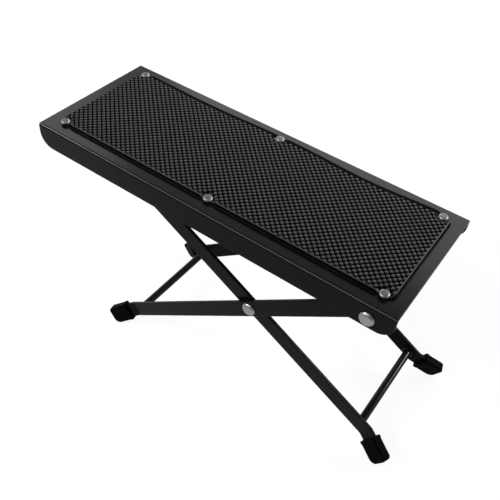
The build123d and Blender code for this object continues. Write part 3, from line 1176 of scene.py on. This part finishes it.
@dataclass
class Studio:
    """Pale paper on the floor, a white room, and softboxes behind and in front."""

    # Floor: left, right, front and back side in metres, and its looks
    floor_sides: tuple[float, float, float, float] = (-3.0, 3.0, -0.55, 5.0)
    floor_grey: float = 0.86
    floor_white: float = 1.06
    white_share: float = 0.85
    gloss_share: float = 0.35

    # Room: plain light, and what a gloss mirrors: a white back wall under a dark ceiling
    sky_level: float = 0.20
    ceiling_level: float = 0.12
    wall_top: float = 0.68
    ceiling_start: float = 0.76
    back_slope: float = 3.0
    back_level: float = 0.6

    # Name, azimuth and elevation in degrees, distance, width and height in metres, brightness
    softboxes: tuple[Softbox, ...] = (
        Softbox("back_softbox", 90.0, 31.5, 2.0, 2.4, 1.05, 2.3),
        Softbox("back_left_softbox", 147.0, 43.0, 1.9, 0.55, 0.45, 2.2),
        Softbox("front_softbox", 241.0, 42.0, 1.7, 1.6, 0.30, 10.0),
        Softbox("front_left_softbox", 216.0, 38.5, 1.7, 0.45, 0.30, 20.0),
        Softbox("side_softbox", 43.5, 22.0, 1.6, 0.26, 0.30, 32.0),
        Softbox("overhead_softbox", 300.0, 72.0, 1.8, 0.9, 0.9, 0.9),
    )

    @staticmethod
    def sees_background(board: Board, gloss_share: float = 1.0) -> Signal:
        """Which rays see the surroundings as they look.

        Args:
            board: node tree of the floor or the world.
            gloss_share: share for the rays from a gloss.

        Returns:
            1 for rays from the camera or a clear surface, and that share for a gloss.
        """
        ray = board.node("ShaderNodeLightPath", None, None, "Is Camera Ray")
        gloss = ray.output("Is Glossy Ray") * gloss_share
        return ray.at_least(gloss).at_least(ray.output("Is Transmission Ray"))

    def room_level(self, board: Board) -> Signal:
        """How bright the room is.

        Args:
            board: node tree of the world.

        Returns:
            White for the eye, and in a gloss white behind and dark overhead.
        """
        way = board.node("ShaderNodeTexCoord", None, None, "Generated")
        parts = board.node("ShaderNodeSeparateXYZ", None, {"Vector": way})
        height = parts.output("Z")
        back = (parts.output("Y") * self.back_slope + self.back_level).held()
        slope = 1.0 / (self.ceiling_start - self.wall_top)
        under_ceiling = ((self.ceiling_start - height) * slope).held()
        wall = back * under_ceiling * (1.0 - self.ceiling_level) + self.ceiling_level
        gloss = board.node("ShaderNodeLightPath", None, None, "Is Glossy Ray")
        return (1.0 - gloss) + gloss * wall

    def build_floor(self) -> bpy.types.Object:
        """Large pale floor that keeps the object's shadow.

        Returns:
            The floor's object.
        """
        left, right, front, back = self.floor_sides
        mesh = bpy.data.meshes.new("floor")
        corners = [(left, front, 0.0), (right, front, 0.0), (right, back, 0.0), (left, back, 0.0)]
        mesh.from_pydata(corners, [], [(0, 1, 2, 3)])
        material = bpy.data.materials.new("pale_floor")
        material.use_nodes = True
        board = Board(material.node_tree)
        grey = (self.floor_grey,) * 3 + (1.0,)
        plain = board.node("ShaderNodeBsdfDiffuse", None, {"Color": grey})
        white = board.node("ShaderNodeEmission", None, {"Strength": self.floor_white})
        seen = self.sees_background(board, self.gloss_share)
        surface = board.blend(seen * self.white_share, plain, white)
        board.close("ShaderNodeOutputMaterial", surface)
        mesh.materials.append(material)
        floor = bpy.data.objects.new("floor", mesh)
        bpy.context.scene.collection.objects.link(floor)
        return floor

    def build_world(self) -> None:
        """White surroundings for the eye, and a plain grey light."""
        world = bpy.data.worlds.new("studio_room")
        world.use_nodes = True
        bpy.context.scene.world = world
        board = Board(world.node_tree)
        light = board.node("ShaderNodeBackground", None, {"Strength": self.sky_level})
        white = {"Color": WHITE, "Strength": self.room_level(board)}
        room = board.node("ShaderNodeBackground", None, white)
        board.close("ShaderNodeOutputWorld", board.blend(self.sees_background(board), light, room))

    def build(self) -> None:
        """Make the floor, the world and the softboxes."""
        self.build_floor()
        self.build_world()
        for softbox in self.softboxes:
            softbox.build()
        bpy.context.scene.view_settings.view_transform = "Standard"
        log.info("studio: %d softboxes", len(self.softboxes))


@dataclass(frozen=True)
class PhotoCamera:
    """Camera at the photograph's place, its turn and lens fitted to points of the footrest.

    The place and the nearest distance seen are in metres, the turn in degrees, and the lens and
    the sensor's width in millimetres.
    """

    place: tuple[float, float, float] = (0.21234, -0.29586, 0.41762)
    turn: tuple[float, float, float] = (48.4567, 0.9694, 35.1313)
    lens: float = 47.54
    sensor: float = 36.0
    nearest: float = 0.01

    def build(self) -> bpy.types.Object:
        """Make the camera and look through it.

        Returns:
            The camera's object.
        """
        data = bpy.data.cameras.new("photo_camera")
        data.sensor_width = self.sensor
        data.lens = self.lens
        data.clip_start = self.nearest
        made = bpy.data.objects.new("photo_camera", data)
        made.location = self.place
        made.rotation_euler = [math.radians(angle) for angle in self.turn]
        bpy.context.scene.collection.objects.link(made)
        bpy.context.scene.camera = made
        return made


@dataclass
class Footrest:
    """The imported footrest, dressed, with the pieces that Blender adds."""

    nodes: dict[str, bpy.types.Object]
    slots: dict[str, Slot]

    def dress(self) -> None:
        """Give each CAD node its own finish, or else the finish of its slot."""
        for name, node in sorted(self.nodes.items()):
            finish = NODE_FINISHES.get(name, FINISHES[self.slots[name]])
            for place in node.material_slots:
                place.material = finish.material()
            log.info("%s: %s", name, finish.name)

    def build(self) -> None:
        """Dress the nodes and make the mat and the weld beads."""
        self.dress()
        RubberMat(
            PlateAxes.of_node(self.nodes["foot_plate"]),
            self.nodes["rubber_mat"],
            self.nodes["mat_rivets"],
            FINISHES[Slot.MAT_RUBBER],
        ).build()
        for rod, body in (("outer_cross_rod", Body.OUTER), ("inner_cross_rod", Body.INNER)):
            WeldBead(rod, body, NODE_FINISHES[rod]).build()


def slot_of_nodes(nodes: dict[str, bpy.types.Object]) -> dict[str, Slot]:
    """Slot of each CAD node, from the material that it came with."""
    materials = {name: node.material_slots[0].material.name for name, node in nodes.items()}
    return {name: Slot(material.split(".")[0]) for name, material in materials.items()}


def main() -> None:
    """Build the scene in order."""
    logging.basicConfig(level=logging.INFO, format="%(name)s: %(message)s")
    PhotoCamera().build()
    Studio().build()
    Footrest(frame["nodes"], slot_of_nodes(frame["nodes"])).build()


if __name__ == "__main__":
    main()
